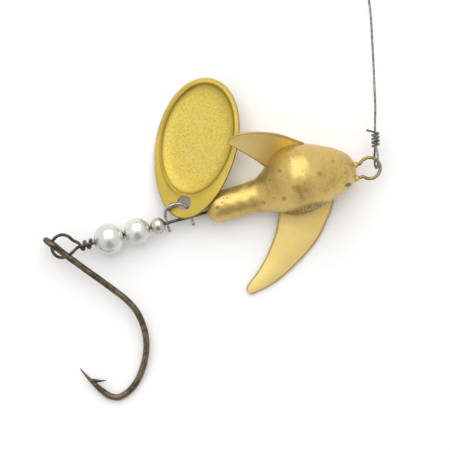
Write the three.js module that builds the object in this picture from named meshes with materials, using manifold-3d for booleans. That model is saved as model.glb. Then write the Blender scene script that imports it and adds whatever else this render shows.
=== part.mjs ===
// Inline spinner: a gold cast body with two sheet wings, a shaft wire carrying a blade on a
// clevis and three beads, a hook on the rear loop, and a leader wire on the head loop.
// Millimetres. +X runs along the shaft toward the head, +Y to the blade's side, +Z up.
import * as THREE from 'three';
import Module from 'manifold-3d';

const wasm = await Module();
wasm.setup();

// ---- driving dimensions ----
const JOIN_GAP = 0.3;             // clearance round everything that is cast or threaded in
const BEAD_GAP = 0.2;             // play between neighbours on the shaft
const AXIS_HEIGHT = 3.55;         // shaft line above the table

const TAIL_RADIUS = 3.5;
const BULB_RADIUS = 7.9;
const BODY_LENGTH = 35.1;
const BACK_LIFT = 4.35;           // how far the bulb's centre rises over the shaft
const BACK_SIDE = 1.75;           // and how far it leans sideways as the lure lies

const SHOULDER_EASE = 0.165;      // how much lower the shoulder's back is than round

const SHAFT_WIRE = 0.72;
const SHAFT_SEAT = 8.0;           // length of shaft wire held in the tail
const WRAP_START = -29.4;
const WRAP_TURNS = 2;
const WRAP_PITCH = 1.41;
const REAR_ROLL = 0.5;            // rise of the rear loop per mm sideways
const REAR_SIDE = 0.3;            // the loop sits this far to the open side of the shaft line

const HEAD_WIRE = 0.75;
const HEAD_RING_RADIUS = 2.37;
const HEAD_RING_U = BODY_LENGTH + 3;
const HEAD_RING_V = 0.1;
const HEAD_LEG_HALF = 1.5;
const HEAD_SEAT_U = BODY_LENGTH - 3.5;
const HEAD_HEIGHT = 4.3;

const WING_THICKNESS = 0.55;
const FOLD_V = 1.33;
const FOLD_Z = 1.5;
const LOWER_WING_DROP = 2.3;      // degrees below level
const UPPER_WING_RISE = 45;       // degrees above level

const LARGE_PEARL = 7.0;
const SMALL_PEARL = 6.0;
const SPACER_BEAD = 3.6;
const BEAD_BORE = 1.3;

const CLEVIS_SPAN = 5.6;          // between the two legs
const CLEVIS_REACH = 4.05;        // shaft line to the top of the bow
const CLEVIS_FOOT = 2.2;          // leg length past the shaft
const CLEVIS_GAUGE = 0.6;
const CLEVIS_BAND = 0.85;
const CLEVIS_EYE_BAND = 2.1;
const CLEVIS_SWING = 26;          // degrees above level at rest
const CLEVIS_EYE = 1.25;

const BLADE_LENGTH = 32.3;
const BLADE_WIDTH = 19.1;
const BLADE_GAUGE = 0.5;
const BLADE_RIM = 1.1;
const DISH_START = 5.5;
const DISH_DEPTH = 1.6;
const BLADE_HOLE = 3.4;
const BLADE_HOLE_IN = 3.55;       // narrow end to hole centre
const BLADE_HEADING = 63.3;       // degrees from +X, seen from above
const BLADE_PITCH = 5;            // far end lower
const BLADE_ROLL = 19;            // outer side lower

const HOOK_WIRE = 1.45;
const HOOK_EYE_RADIUS = 1.8;
const HOOK_HEADING = -50.8;
const HOOK_SCALE = 1;
const HOOK_EYE_U = -35.12;
const HOOK_EYE_V = 1.94;
const HOOK_EYE_Z = 4.88;

const LEADER_WIRE = 0.5;
const LEADER_WRAP_TURNS = 3;
const COIL_RADIUS = 2.6;
const COIL_TURNS = 5;
const COIL_CENTRE = [50.2, 43.6];
const WIRE_SIDES = 8;

// ---- helpers ----
function vec(x, y, z) {
  return new THREE.Vector3(x, y, z);
}

function toSolid(geometry) {
  const g = geometry.clone();
  g.deleteAttribute('normal');
  g.deleteAttribute('uv');
  const merged = mergeByPosition(g);
  const mesh = new wasm.Mesh({
    numProp: 3,
    vertProperties: merged.positions,
    triVerts: merged.indices,
  });
  mesh.merge();
  return new wasm.Manifold(mesh);
}

function mergeByPosition(geometry) {
  const source = geometry.index ? geometry.toNonIndexed() : geometry;
  const array = source.attributes.position.array;
  const lookup = new Map();
  const positions = [];
  const indices = [];
  for (let i = 0; i < array.length; i += 9) {
    const tri = [];
    for (let k = 0; k < 9; k += 3) {
      const x = array[i + k];
      const y = array[i + k + 1];
      const z = array[i + k + 2];
      const key = `${Math.round(x * 1e4)},${Math.round(y * 1e4)},${Math.round(z * 1e4)}`;
      if (!lookup.has(key)) {
        lookup.set(key, positions.length / 3);
        positions.push(x, y, z);
      }
      tri.push(lookup.get(key));
    }
    if (tri[0] !== tri[1] && tri[1] !== tri[2] && tri[0] !== tri[2]) {
      indices.push(tri[0], tri[1], tri[2]);
    }
  }
  return { positions: new Float32Array(positions), indices: new Uint32Array(indices) };
}

function fromSolid(solid) {
  const mesh = solid.getMesh();
  const geometry = new THREE.BufferGeometry();
  const count = mesh.vertProperties.length / mesh.numProp;
  const positions = new Float32Array(count * 3);
  for (let i = 0; i < count; i += 1) {
    positions[i * 3] = mesh.vertProperties[i * mesh.numProp];
    positions[i * 3 + 1] = mesh.vertProperties[i * mesh.numProp + 1];
    positions[i * 3 + 2] = mesh.vertProperties[i * mesh.numProp + 2];
  }
  geometry.setAttribute('position', new THREE.BufferAttribute(positions, 3));
  geometry.setIndex(new THREE.BufferAttribute(new Uint32Array(mesh.triVerts), 1));
  return geometry;
}

// Rows of points, each row closed on itself, skinned and capped at both ends.
function skin(rows) {
  const positions = [];
  const indices = [];
  const n = rows[0].length;
  for (const row of rows) {
    for (const p of row) {
      positions.push(p.x, p.y, p.z);
    }
  }
  for (let i = 0; i + 1 < rows.length; i += 1) {
    for (let j = 0; j < n; j += 1) {
      const a = i * n + j;
      const b = i * n + (j + 1) % n;
      const c = a + n;
      const d = b + n;
      indices.push(a, b, d, a, d, c);
    }
  }
  const capAt = (row, flip) => {
    const centre = vec(0, 0, 0);
    for (const p of rows[row]) {
      centre.add(p);
    }
    centre.multiplyScalar(1 / n);
    const at = positions.length / 3;
    positions.push(centre.x, centre.y, centre.z);
    for (let j = 0; j < n; j += 1) {
      const a = row * n + j;
      const b = row * n + (j + 1) % n;
      if (flip) {
        indices.push(at, b, a);
      } else {
        indices.push(at, a, b);
      }
    }
  };
  capAt(0, true);
  capAt(rows.length - 1, false);
  const geometry = new THREE.BufferGeometry();
  geometry.setAttribute('position', new THREE.Float32BufferAttribute(positions, 3));
  geometry.setIndex(indices);
  return geometry;
}

// Round wire along a list of points; radii may be one number or one per point.
function wire(points, radii, sides) {
  const rows = [];
  const count = points.length;
  let normal = null;
  let last = null;
  for (let i = 0; i < count; i += 1) {
    const before = points[Math.max(0, i - 1)];
    const after = points[Math.min(count - 1, i + 1)];
    const tangent = after.clone().sub(before).normalize();
    if (normal === null) {
      const seed = Math.abs(tangent.z) < 0.9 ? vec(0, 0, 1) : vec(1, 0, 0);
      normal = seed.sub(tangent.clone().multiplyScalar(seed.dot(tangent))).normalize();
    } else {
      const turn = new THREE.Quaternion().setFromUnitVectors(last, tangent);
      normal.applyQuaternion(turn);
      normal.sub(tangent.clone().multiplyScalar(normal.dot(tangent))).normalize();
    }
    last = tangent.clone();
    const side = tangent.clone().cross(normal);
    const radius = Array.isArray(radii) ? radii[i] : radii;
    const row = [];
    for (let k = 0; k < sides; k += 1) {
      const a = (k / sides) * Math.PI * 2;
      const p = points[i].clone();
      p.add(normal.clone().multiplyScalar(Math.cos(a) * radius));
      p.add(side.clone().multiplyScalar(Math.sin(a) * radius));
      row.push(p);
    }
    rows.push(row);
  }
  return skin(rows);
}

function smooth(points, steps) {
  const curve = new THREE.CatmullRomCurve3(points, false, 'centripetal');
  return curve.getSpacedPoints(steps);
}

function ring(radius, wireRadius, turnSteps, sides) {
  return new THREE.TorusGeometry(radius, wireRadius, sides, turnSteps);
}

// Straight round bar along +X from a to b at (v, z).
function bar(a, b, v, z, radius, sides) {
  return wire([vec(a, v, z), vec((a + b) / 2, v, z), vec(b, v, z)], radius, sides);
}

function smoothStep(x) {
  const t = Math.min(1, Math.max(0, x));
  return t * t * (3 - 2 * t);
}

// ---- cast body ----
// Station, radius and how much of the bulb's lean applies there.
function bodyStations() {
  const stations = [];
  const tailSteps = 6;
  for (let i = 1; i <= tailSteps; i += 1) {
    const a = (i / tailSteps) * Math.PI / 2;
    stations.push([TAIL_RADIUS * 0.95 * (1 - Math.cos(a)) + 0.05, TAIL_RADIUS * Math.sin(a), 0]);
  }
  stations.push([8, TAIL_RADIUS * 1.01, 0]);
  stations.push([11, TAIL_RADIUS * 1.02, 0]);
  const bulb = [
    [12.6, 0.482, 0.06], [14, 0.556, 0.19], [15, 0.635, 0.38], [16, 0.722, 0.57],
    [17.2, 0.84, 0.77], [18.7, 0.95, 0.93], [20.7, 1, 1], [22.6, 0.993, 1],
    [24.3, 0.955, 0.97], [25.8, 0.905, 0.91], [27.6, 0.83, 0.82], [29.4, 0.745, 0.71],
    [31, 0.655, 0.6], [32.2, 0.575, 0.5], [33.3, 0.478, 0.41], [34.1, 0.37, 0.34],
    [34.7, 0.245, 0.29],
  ];
  for (const [u, r, lean] of bulb) {
    stations.push([u, r * BULB_RADIUS, lean]);
  }
  return stations;
}

function bodyShell() {
  const sides = 32;
  const rows = [];
  const stretch = BODY_LENGTH / 35.1;
  const section = (u, radius, lean) => {
    const row = [];
    const v = 0.5 + (BACK_SIDE - 0.5) * smoothStep(u / 20) * 0.25 + (BACK_SIDE - 0.3) * lean * 0.8;
    const z = AXIS_HEIGHT + BACK_LIFT * lean;
    const crown = 1 - SHOULDER_EASE * Math.exp(-(((u - 16.6) / 3) ** 2));
    for (let k = 0; k < sides; k += 1) {
      const a = (k / sides) * Math.PI * 2;
      const up = Math.sin(a) > 0 ? crown : 1;
      row.push(vec(u * stretch, v + radius * Math.cos(a), z + radius * up * Math.sin(a)));
    }
    return row;
  };
  for (const [u, r, lean] of bodyStations()) {
    rows.push(section(u, r, lean));
  }
  const geometry = skin(rows);
  // Pull the two end caps out into shallow domes.
  const position = geometry.attributes.position;
  position.setX(position.count - 2, 0.05);
  position.setX(position.count - 1, BODY_LENGTH);
  return geometry;
}

function castBody(wingSlots) {
  let solid = toSolid(bodyShell());
  const seatRadius = SHAFT_WIRE / 2 + JOIN_GAP;
  const tailBore = bar(-2, SHAFT_SEAT + JOIN_GAP, 0, AXIS_HEIGHT, seatRadius, 16);
  solid = solid.subtract(toSolid(tailBore));
  const legRadius = HEAD_WIRE / 2 + JOIN_GAP;
  for (const side of [-1, 1]) {
    const v = HEAD_RING_V + side * HEAD_LEG_HALF;
    const bore = bar(HEAD_SEAT_U - JOIN_GAP, HEAD_RING_U, v, HEAD_HEIGHT, legRadius, 16);
    solid = solid.subtract(toSolid(bore));
  }
  for (const slot of wingSlots) {
    solid = solid.subtract(toSolid(slot));
  }
  return fromSolid(solid);
}

// ---- wings ----
// Outlines run (along the shaft, away from the fold).
function lowerWingOutline() {
  return [
    [16.6, 1.4], [16.3, 4.0], [15.6, 6.4], [14.3, 9.2], [12.6, 11.8], [10.6, 14.4],
    [8.3, 16.8], [6.2, 18.5], [4.7, 19.7], [4.3, 20.6], [4.6, 21.5], [5.3, 21.85],
    [7.1, 21.55], [9.6, 21.05], [12.2, 20.15], [14.9, 18.85], [17.6, 17.35],
    [20.4, 15.55], [23.4, 13.15], [25.7, 10.45], [27.5, 8.15], [28.6, 6.0],
    [28.9, 3.4], [28.6, 1.4],
  ];
}

function upperWingOutline() {
  return [
    [15.9, 6.9], [15.1, 7.7], [13.9, 9.6], [12.5, 11.6], [11.3, 13.3], [10.2, 14.95],
    [9.3, 16.1], [8.8, 17.0], [8.9, 17.9], [9.8, 18.6], [11.2, 19.0], [13.2, 18.75],
    [15.3, 18.15], [17.4, 17.25], [19.5, 16.1], [21.5, 14.55], [23.5, 12.7],
    [25.1, 11.1], [25.6, 9.6], [25.0, 7.4],
  ];
}

function grown(outline, by) {
  const out = [];
  const n = outline.length;
  for (let i = 0; i < n; i += 1) {
    const [ax, ay] = outline[(i + n - 1) % n];
    const [bx, by2] = outline[(i + 1) % n];
    const dx = bx - ax;
    const dy = by2 - ay;
    const length = Math.hypot(dx, dy);
    out.push([outline[i][0] - (dy / length) * by, outline[i][1] + (dx / length) * by]);
  }
  return out;
}

function sheet(outline, thickness, place) {
  const shape = new THREE.Shape();
  outline.forEach(([x, y], i) => {
    if (i === 0) {
      shape.moveTo(x, y);
    } else {
      shape.lineTo(x, y);
    }
  });
  shape.closePath();
  const geometry = new THREE.ExtrudeGeometry(shape, { depth: thickness, bevelEnabled: false });
  geometry.translate(0, 0, -thickness / 2);
  return place(geometry);
}

function placeLower(geometry) {
  // Fold distance runs toward -Y, dropping slightly.
  const drop = THREE.MathUtils.degToRad(LOWER_WING_DROP);
  const matrix = new THREE.Matrix4().makeBasis(
    vec(1, 0, 0),
    vec(0, -Math.cos(drop), -Math.sin(drop)),
    vec(0, Math.sin(drop), -Math.cos(drop)),
  );
  geometry.applyMatrix4(matrix);
  geometry.translate(0, FOLD_V, FOLD_Z);
  return geometry;
}

function placeUpper(geometry) {
  const rise = THREE.MathUtils.degToRad(UPPER_WING_RISE);
  const matrix = new THREE.Matrix4().makeBasis(
    vec(1, 0, 0),
    vec(0, Math.cos(rise), Math.sin(rise)),
    vec(0, -Math.sin(rise), Math.cos(rise)),
  );
  geometry.applyMatrix4(matrix);
  geometry.translate(0, FOLD_V, FOLD_Z);
  return geometry;
}

function slotOutline(outline) {
  const area = THREE.ShapeUtils.area(outline.map(([x, y]) => new THREE.Vector2(x, y)));
  return grown(outline, area > 0 ? -JOIN_GAP : JOIN_GAP);
}

// ---- wires ----
function headLoop() {
  const points = [];
  const start = Math.asin(HEAD_LEG_HALF / HEAD_RING_RADIUS);
  const z = HEAD_HEIGHT;
  points.push(vec(HEAD_SEAT_U, HEAD_RING_V + HEAD_LEG_HALF, z));
  points.push(vec(BODY_LENGTH - 1.6, HEAD_RING_V + HEAD_LEG_HALF, z));
  points.push(vec(BODY_LENGTH + 0.1, HEAD_RING_V + HEAD_LEG_HALF, z));
  const steps = 22;
  for (let i = 0; i <= steps; i += 1) {
    const a = Math.PI - start - (i / steps) * (Math.PI * 2 - 2 * start);
    points.push(vec(
      HEAD_RING_U + HEAD_RING_RADIUS * Math.cos(a),
      HEAD_RING_V + HEAD_RING_RADIUS * Math.sin(a),
      z,
    ));
  }
  points.push(vec(BODY_LENGTH + 0.1, HEAD_RING_V - HEAD_LEG_HALF, z));
  points.push(vec(BODY_LENGTH - 1.6, HEAD_RING_V - HEAD_LEG_HALF, z));
  points.push(vec(HEAD_SEAT_U, HEAD_RING_V - HEAD_LEG_HALF, z));
  return wire(points, HEAD_WIRE / 2, 10);
}

function shaftWire() {
  const raise = (u, v) => vec(u, v - REAR_SIDE, AXIS_HEIGHT + REAR_ROLL * v);
  const straight = [];
  straight.push(vec(SHAFT_SEAT, 0, AXIS_HEIGHT));
  straight.push(vec(0, 0, AXIS_HEIGHT));
  straight.push(vec(-14, 0, AXIS_HEIGHT));
  straight.push(vec(WRAP_START + 2.5, 0, AXIS_HEIGHT));
  const loopPoints = [
    vec(WRAP_START + 0.6, 0, AXIS_HEIGHT), vec(WRAP_START - 0.5, -0.05, AXIS_HEIGHT),
    raise(-31.6, -0.65), raise(-33.2, -1.12), raise(-34.55, -0.8), raise(-35.42, 0.2),
    raise(-35.55, 1.6), raise(-34.9, 3.05), raise(-33.85, 3.75), raise(-32.55, 3.9),
    raise(-31.3, 3.25), raise(-30.5, 2.1),
  ];
  const helix = [];
  const helixRadius = SHAFT_WIRE + 0.13;
  const steps = WRAP_TURNS * 12;
  for (let i = 0; i <= steps; i += 1) {
    const a = Math.PI * 0.15 + (i / 12) * Math.PI * 2;
    helix.push(vec(
      WRAP_START + (i / 12) * WRAP_PITCH,
      helixRadius * Math.cos(a),
      AXIS_HEIGHT + helixRadius * Math.sin(a),
    ));
  }
  const tail = smooth([...loopPoints, helix[0]], 44);
  return wire([...straight, ...tail, ...helix.slice(1)], SHAFT_WIRE / 2, WIRE_SIDES);
}

// ---- beads ----
function beadHalf(diameter) {
  return Math.sqrt((diameter / 2) ** 2 - (BEAD_BORE / 2) ** 2);
}

function bead(diameter, centre) {
  const half = beadHalf(diameter);
  const start = Math.asin(BEAD_BORE / diameter);
  const profile = [];
  const steps = 12;
  for (let i = 0; i <= steps; i += 1) {
    const a = start + (i / steps) * (Math.PI - 2 * start);
    profile.push(new THREE.Vector2(Math.sin(a) * diameter / 2, -Math.cos(a) * diameter / 2));
  }
  profile[0].set(BEAD_BORE / 2, -half);
  profile[steps].set(BEAD_BORE / 2, half);
  profile.push(profile[0].clone());
  const geometry = new THREE.LatheGeometry(profile, 24);
  geometry.rotateZ(-Math.PI / 2);
  geometry.translate(centre, 0, AXIS_HEIGHT);
  return geometry;
}

function beadPlaces() {
  const wrapEnd = WRAP_START + WRAP_TURNS * WRAP_PITCH + SHAFT_WIRE / 2;
  const large = wrapEnd + BEAD_GAP + beadHalf(LARGE_PEARL);
  const small = large + beadHalf(LARGE_PEARL) + BEAD_GAP + beadHalf(SMALL_PEARL);
  const spacer = small + beadHalf(SMALL_PEARL) + BEAD_GAP + beadHalf(SPACER_BEAD);
  const clevis = spacer + beadHalf(SPACER_BEAD) + BEAD_GAP + CLEVIS_GAUGE / 2;
  return { large, small, spacer, clevis };
}

// ---- clevis ----
function clevisBand(left) {
  const right = left + CLEVIS_SPAN;
  const r = CLEVIS_REACH;
  const path = [
    [left, -CLEVIS_FOOT], [left, -CLEVIS_FOOT * 0.45], [left, 0], [left, r * 0.27],
    [left + 0.1, r * 0.56], [left + 0.6, r * 0.82], [left + 1.5, r * 0.97],
    [left + 2.6, r], [right - 1.6, r * 0.93], [right - 0.75, r * 0.76],
    [right - 0.15, r * 0.53], [right, r * 0.27], [right, 0], [right, -CLEVIS_FOOT * 0.45],
    [right, -CLEVIS_FOOT],
  ];
  const curve = new THREE.CatmullRomCurve3(path.map(([u, q]) => vec(u, q, 0)), false, 'centripetal');
  const steps = 44;
  const rows = [];
  for (let i = 0; i <= steps; i += 1) {
    const t = i / steps;
    const p = curve.getPointAt(t);
    const tangent = curve.getTangentAt(t);
    const out = vec(-tangent.y, tangent.x, 0);
    const near = smoothStep((2.1 - Math.abs(p.y)) / 1.5);
    const foot = p.y < 0 ? 1 - 0.55 * smoothStep((-p.y - 0.9) / 1.3) : 1;
    const band = (CLEVIS_BAND + (CLEVIS_EYE_BAND - CLEVIS_BAND) * near) * foot;
    const row = [];
    for (const [a, b] of [[1, 1], [1, -1], [-1, -1], [-1, 1]]) {
      const q = p.clone().add(out.clone().multiplyScalar(a * CLEVIS_GAUGE / 2));
      q.z += b * band / 2;
      row.push(q);
    }
    rows.push(row.reverse());
  }
  const solid = toSolid(skin(rows));
  const drill = bar(left - 2, right + 2, 0, 0, CLEVIS_EYE / 2, 16);
  const geometry = fromSolid(solid.subtract(toSolid(drill)));
  geometry.rotateX(THREE.MathUtils.degToRad(CLEVIS_SWING));
  geometry.translate(0, 0, AXIS_HEIGHT);
  return geometry;
}

// ---- blade ----
// Half width at a distance along the blade: an egg a little fuller toward the far end.
function bladeHalf(s, length, width) {
  const x = (2 * s) / length - 1;
  const egg = 1 + 0.1 * x;
  return (width / 2) * Math.sqrt(Math.max(0, 1 - x * x)) * egg;
}

function ovalLid(s0, length, width, depth, top) {
  // A dish-shaped plug: flat lid on top, dished floor below.
  const rings = 7;
  const sides = 40;
  const positions = [];
  const indices = [];
  const add = (x, y, z) => {
    positions.push(x, y, z);
    return positions.length / 3 - 1;
  };
  const rows = [];
  for (let i = 1; i <= rings; i += 1) {
    const r = i / rings;
    const row = [];
    for (let k = 0; k < sides; k += 1) {
      const a = (k / sides) * Math.PI * 2;
      const s = length / 2 * (1 - Math.cos(a));
      const half = bladeHalf(s, length, width);
      const x = s0 + length / 2 + (s - length / 2) * r;
      const y = Math.sign(Math.sin(a)) * half * r;
      row.push(add(x, y, -depth * (1 - r ** 2.6)));
    }
    rows.push(row);
  }
  const lidRow = [];
  for (let k = 0; k < sides; k += 1) {
    const at = rows[rings - 1][k] * 3;
    lidRow.push(add(positions[at], positions[at + 1], top));
  }
  const bottom = add(s0 + length / 2, 0, -depth);
  const lid = add(s0 + length / 2, 0, top);
  for (let k = 0; k < sides; k += 1) {
    const m = (k + 1) % sides;
    indices.push(bottom, rows[0][k], rows[0][m]);
    for (let i = 0; i + 1 < rings; i += 1) {
      indices.push(rows[i][k], rows[i + 1][k], rows[i + 1][m]);
      indices.push(rows[i][k], rows[i + 1][m], rows[i][m]);
    }
    indices.push(rows[rings - 1][k], lidRow[k], lidRow[m]);
    indices.push(rows[rings - 1][k], lidRow[m], rows[rings - 1][m]);
    indices.push(lid, lidRow[m], lidRow[k]);
  }
  const geometry = new THREE.BufferGeometry();
  geometry.setAttribute('position', new THREE.Float32BufferAttribute(positions, 3));
  geometry.setIndex(indices);
  return geometry;
}

function bladeOutline() {
  const outline = [];
  const steps = 28;
  for (let i = 0; i <= steps; i += 1) {
    const a = (i / steps) * Math.PI;
    const s = BLADE_LENGTH / 2 * (1 - Math.cos(a));
    outline.push([s, bladeHalf(s, BLADE_LENGTH, BLADE_WIDTH)]);
  }
  for (let i = steps - 1; i > 0; i -= 1) {
    outline.push([outline[i][0], -outline[i][1]]);
  }
  return outline;
}

function bladePlace(geometry, hole) {
  geometry.translate(-BLADE_HOLE_IN, 0, 0);
  const matrix = new THREE.Matrix4();
  matrix.makeRotationZ(THREE.MathUtils.degToRad(BLADE_HEADING));
  matrix.multiply(new THREE.Matrix4().makeRotationY(THREE.MathUtils.degToRad(BLADE_PITCH)));
  matrix.multiply(new THREE.Matrix4().makeRotationX(THREE.MathUtils.degToRad(-BLADE_ROLL)));
  geometry.applyMatrix4(matrix);
  geometry.translate(hole.x, hole.y, hole.z);
  return geometry;
}

function blade(hole) {
  const plate = sheet(bladeOutline(), BLADE_GAUGE, (g) => g);
  const dishLength = BLADE_LENGTH - DISH_START - BLADE_RIM;
  const dishWidth = BLADE_WIDTH - 2 * BLADE_RIM;
  const outer = ovalLid(
    DISH_START - BLADE_GAUGE / 2,
    dishLength + BLADE_GAUGE,
    dishWidth + BLADE_GAUGE,
    DISH_DEPTH + BLADE_GAUGE / 2,
    0,
  );
  const inner = ovalLid(DISH_START, dishLength, dishWidth, DISH_DEPTH - BLADE_GAUGE / 2, 2);
  const drill = new THREE.CylinderGeometry(BLADE_HOLE / 2, BLADE_HOLE / 2, 4, 24);
  drill.rotateX(Math.PI / 2);
  drill.translate(BLADE_HOLE_IN, 0, 0);
  const solid = toSolid(plate).add(toSolid(outer)).subtract(toSolid(inner)).subtract(toSolid(drill));
  return bladePlace(fromSolid(solid), hole);
}

// ---- hook ----
// Along the shank from the eye, and sideways toward the point.
function hookPath() {
  const s = HOOK_SCALE;
  const points = [
    [HOOK_EYE_RADIUS, 0.05], [4, 0.15], [10, 0.22], [14, 0.22], [17.5, 0.27], [20.5, 0.42],
    [23.8, 1.15], [26.6, 2.65], [29.2, 4.85], [31.1, 7.5], [32.35, 10.25], [33.1, 12.95],
    [33.3, 15.5], [32.9, 17.75], [31.95, 19.5], [30.3, 20.35], [28, 20.4], [25.5, 20.1],
    [23.2, 19.7], [21, 19.1],
  ];
  return points.map(([along, side]) => [along * s, side * s]);
}

function hookPoint(along, side, lift) {
  const heading = THREE.MathUtils.degToRad(HOOK_HEADING);
  const du = Math.cos(heading);
  const dv = Math.sin(heading);
  return vec(
    HOOK_EYE_U + du * along + dv * side,
    HOOK_EYE_V + dv * along - du * side,
    HOOK_EYE_Z - 0.098 * along - 0.055 * side + lift,
  );
}

function hook() {
  const path = smooth(hookPath().map(([a, b]) => hookPoint(a, b, 0)), 52);
  const radii = path.map((p, i) => {
    const left = path.length - 1 - i;
    return HOOK_WIRE / 2 * (left < 7 ? 0.08 + 0.92 * (left / 7) ** 0.8 : 1);
  });
  const bend = toSolid(wire(path, radii, 12));
  const eye = ring(HOOK_EYE_RADIUS, HOOK_WIRE / 2, 24, 12);
  eye.rotateX(Math.PI / 2);
  eye.rotateZ(THREE.MathUtils.degToRad(HOOK_HEADING));
  eye.translate(HOOK_EYE_U, HOOK_EYE_V, HOOK_EYE_Z);
  const s = HOOK_SCALE;
  const barbRoot = hookPoint(25.2 * s, 19.9 * s, 0);
  const barbTip = hookPoint(27.8 * s, 17.8 * s, 0);
  const barbMid = barbRoot.clone().lerp(barbTip, 0.5);
  const barb = wire([barbRoot, barbMid, barbTip], [0.42, 0.3, 0.05], 8);
  return fromSolid(bend.add(toSolid(eye)).add(toSolid(barb)));
}

// ---- leader ----
// Distance along the leader's end fitting from its inner end, height off the ring plane.
function leaderPoint(t, side, lift) {
  const axis = [0.225, 0.974];
  return vec(
    HEAD_RING_U + 1.18 + axis[0] * t + axis[1] * side,
    -1.6 + axis[1] * t - axis[0] * side,
    HEAD_HEIGHT + lift,
  );
}

function leaderEndLoop() {
  const r = LEADER_WIRE + 0.22;
  const helix = [];
  const perTurn = 12;
  const steps = LEADER_WRAP_TURNS * perTurn;
  for (let i = 0; i <= steps; i += 1) {
    const a = Math.PI / 2 + (1 - i / steps) * LEADER_WRAP_TURNS * Math.PI * 2;
    const t = 9.0 - (i / steps) * 2.7;
    helix.push(leaderPoint(t, r * Math.cos(a), r * Math.sin(a)));
  }
  const tag = leaderPoint(9.15, 1.5, 0.9);
  const bow = [
    helix[steps], leaderPoint(5.4, 0, 1.25), leaderPoint(4.2, 0, 1.5), leaderPoint(2.9, 0, 1.4),
    leaderPoint(1.75, 0, 0.95), leaderPoint(1.3, 0, 0), leaderPoint(1.75, 0, -0.95),
    leaderPoint(2.9, 0, -1.35), leaderPoint(4.2, 0, -1.3), leaderPoint(5.4, 0, -0.75),
    leaderPoint(6.4, 0, -0.1), leaderPoint(7.2, 0, 0), leaderPoint(10.6, 0, 0),
  ];
  const loop = smooth(bow, 46);
  const points = [tag, ...helix.slice(0, steps), ...loop];
  return wire(points, LEADER_WIRE / 2, WIRE_SIDES);
}

function leaderRoute() {
  const start = leaderPoint(10.6 + JOIN_GAP, 0, 0);
  const [cx, cy] = COIL_CENTRE;
  return [
    start, vec(42.9, 13.0, 4.2), vec(43.95, 17.6, 4.0), vec(45.0, 22.2, 3.7),
    vec(46.0, 26.8, 3.4), vec(47.0, 31.4, 3.0), vec(47.75, 35.2, 2.7), vec(48.05, 38.2, 2.6),
    vec(47.9, 40.6, 2.7), vec(cx - COIL_RADIUS, cy - 0.7, 2.9),
  ];
}

function leaderWire() {
  const route = leaderRoute();
  const last = route[route.length - 1];
  const stop = route[route.length - 2].clone().lerp(last, 0.45);
  return wire(smooth([...route.slice(0, -1), stop], 30), LEADER_WIRE / 2, WIRE_SIDES);
}

function leaderCoil() {
  const half = LEADER_WIRE / 2 + 0.1;
  const height = COIL_TURNS * LEADER_WIRE * 1.06;
  const profile = [
    [COIL_RADIUS - half, 0.05], [COIL_RADIUS + half, 0.05],
    [COIL_RADIUS + half, height], [COIL_RADIUS - half, height], [COIL_RADIUS - half, 0.05],
  ].map(([x, y]) => new THREE.Vector2(x, y));
  const geometry = new THREE.LatheGeometry(profile, 32);
  geometry.rotateX(Math.PI / 2);
  geometry.translate(COIL_CENTRE[0], COIL_CENTRE[1], 0);
  return geometry;
}

// ---- assembly ----
function material(colour, roughness, metalness) {
  return new THREE.MeshStandardMaterial({ color: colour, roughness, metalness });
}

const lowerOutline = lowerWingOutline();
const upperOutline = upperWingOutline();
const slotGauge = WING_THICKNESS + 2 * JOIN_GAP;
const wingSlots = [
  sheet(slotOutline(lowerOutline), slotGauge, placeLower),
  sheet(slotOutline(upperOutline), slotGauge, placeUpper),
];
const places = beadPlaces();
const bladeHolePlace = vec(places.clevis + 4.9, 3.35, 4.87);

const pieces = [
  ['body_casting', castBody(wingSlots), material(0xb08a3c, 0.42, 0.7)],
  ['lower_wing', sheet(lowerOutline, WING_THICKNESS, placeLower), material(0xc7a356, 0.38, 0.8)],
  ['upper_wing', sheet(upperOutline, WING_THICKNESS, placeUpper), material(0xc7a356, 0.38, 0.8)],
  ['head_loop', headLoop(), material(0xa58a55, 0.4, 0.8)],
  ['shaft_wire', shaftWire(), material(0x5a544c, 0.4, 0.9)],
  ['large_pearl', bead(LARGE_PEARL, places.large), material(0xe9e9e6, 0.3, 0)],
  ['small_pearl', bead(SMALL_PEARL, places.small), material(0xe9e9e6, 0.3, 0)],
  ['spacer_bead', bead(SPACER_BEAD, places.spacer), material(0x8d857a, 0.35, 0.9)],
  ['clevis', clevisBand(places.clevis), material(0x9b9890, 0.35, 0.9)],
  ['blade', blade(bladeHolePlace), material(0xb58d2c, 0.4, 0.9)],
  ['hook', hook(), material(0x4a3f33, 0.45, 0.85)],
  ['leader_end_loop', leaderEndLoop(), material(0x8f9499, 0.35, 0.9)],
  ['leader_wire', leaderWire(), material(0x8f9499, 0.35, 0.9)],
  ['leader_coil', leaderCoil(), material(0x8f9499, 0.35, 0.9)],
];

const leaderNames = ['leader_end_loop', 'leader_wire', 'leader_coil'];
const spinner = new THREE.Group();
spinner.name = 'inline_spinner';
const box = new THREE.Box3();
for (const [name, geometry] of pieces) {
  if (!leaderNames.includes(name)) {
    geometry.computeBoundingBox();
    box.union(geometry.boundingBox);
  }
}
const shift = vec(-(box.min.x + box.max.x) / 2, -(box.min.y + box.max.y) / 2, -box.min.z);
for (const [name, geometry, look] of pieces) {
  geometry.translate(shift.x, shift.y, shift.z);
  const mesh = new THREE.Mesh(geometry, look);
  mesh.name = name;
  spinner.add(mesh);
}

export default spinner;
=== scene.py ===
"""Inline spinner lying flat: a painted cast body with two sheet wings, a blade on a clevis,
beads, a hook and a leader wire. Every piece is a parametric surface made here with numpy.
Plan distances are in millimetres along the shaft (u), across it (v) and up (z), and become
metres in the row frame through place()."""
import math

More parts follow.
